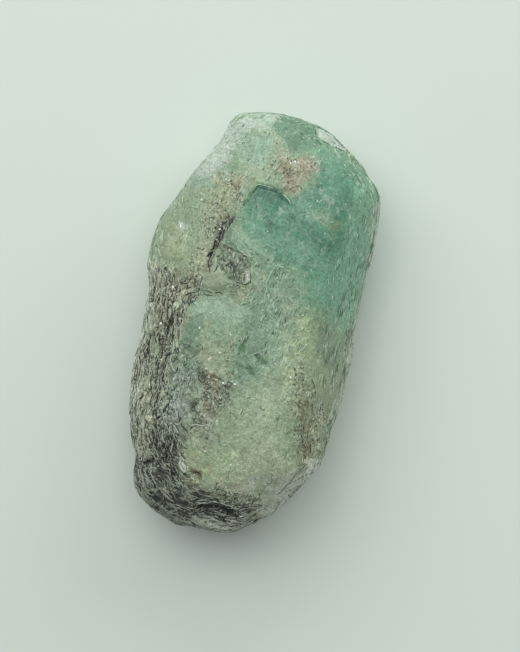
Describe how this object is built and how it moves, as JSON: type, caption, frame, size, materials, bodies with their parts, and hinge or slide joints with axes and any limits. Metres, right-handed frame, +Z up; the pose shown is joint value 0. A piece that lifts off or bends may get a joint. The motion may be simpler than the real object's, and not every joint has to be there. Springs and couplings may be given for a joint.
{
  "type": "raw emerald crystal",
  "caption": "Rough, worn hexagonal prism of milky green beryl, with a crust of dark mica schist on one flank and end, lying on a flat prism face.",
  "frame": {"origin": "middle of the plan outline, on the plane of the flat prism face that the stone rests on", "axes": "+Y along the crystal's c axis towards the cleaner, greener end; +Z up from the resting face; +X to the right, away from the schist-crusted flank"},
  "size_m": [0.022, 0.042, 0.015],
  "materials": {
    "emerald": "rough"
  },
  "bodies": {
    "root": {"emerald_crystal": "emerald"}
  },
  "joints": []
}
